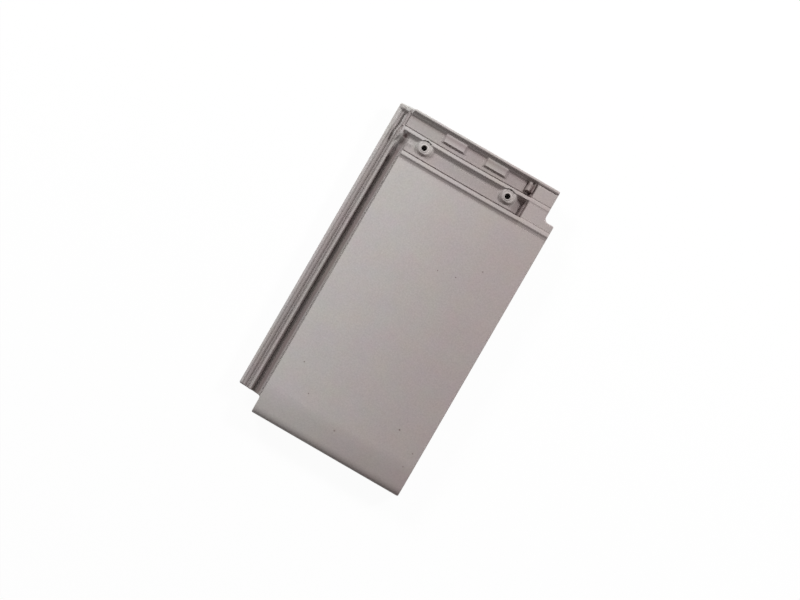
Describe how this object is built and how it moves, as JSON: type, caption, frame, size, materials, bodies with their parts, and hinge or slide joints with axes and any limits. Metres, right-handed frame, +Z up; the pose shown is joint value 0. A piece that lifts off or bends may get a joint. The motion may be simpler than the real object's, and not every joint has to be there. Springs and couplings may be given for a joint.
{
  "type": "roof tile",
  "caption": "Flat interlocking clay roof tile with side lock, head lock channels, nail bosses, cover flange and hanging nibs.",
  "frame": {"origin": "middle of the tile's plan box, on the level of the nibs' feet", "axes": "+X across the tile from the side lock to the cover flange, +Y up the slope from the front edge to the head, +Z up out of the weathered face"},
  "size_m": [0.272, 0.482, 0.0429],
  "materials": {
    "engobe": "satin"
  },
  "bodies": {
    "root": {"roof_tile": "engobe"}
  },
  "joints": []
}
